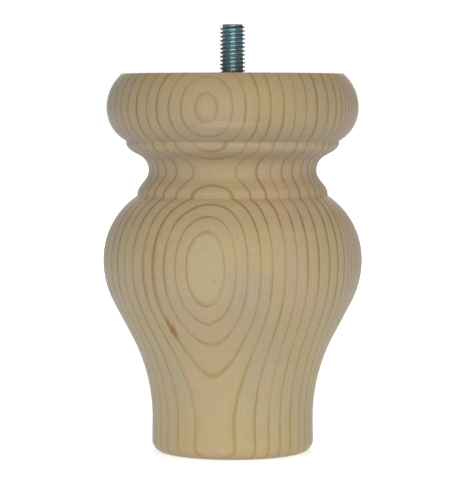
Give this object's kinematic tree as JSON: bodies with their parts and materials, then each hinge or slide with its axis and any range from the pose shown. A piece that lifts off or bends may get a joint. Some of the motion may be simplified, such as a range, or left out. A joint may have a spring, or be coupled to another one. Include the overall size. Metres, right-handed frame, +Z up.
{
  "type": "furniture leg",
  "caption": "Turned softwood furniture leg with bun, cove, bead and vase, and a steel stud standing out of its flat top for fixing under furniture.",
  "frame": {"origin": "centre of the foot's underside, on the turning axis", "axes": "+Z up the turning axis, out of the top face and along the stud; the leg is round, so X and Y are free"},
  "size_m": [0.0822, 0.0822, 0.1355],
  "materials": {
    "pine": "bare turned pine, unsanded to a light matt",
    "zinc_steel": "bright zinc plate"
  },
  "bodies": {
    "root": {"turned_leg": "pine", "hanger_bolt": "zinc_steel"}
  },
  "joints": []
}
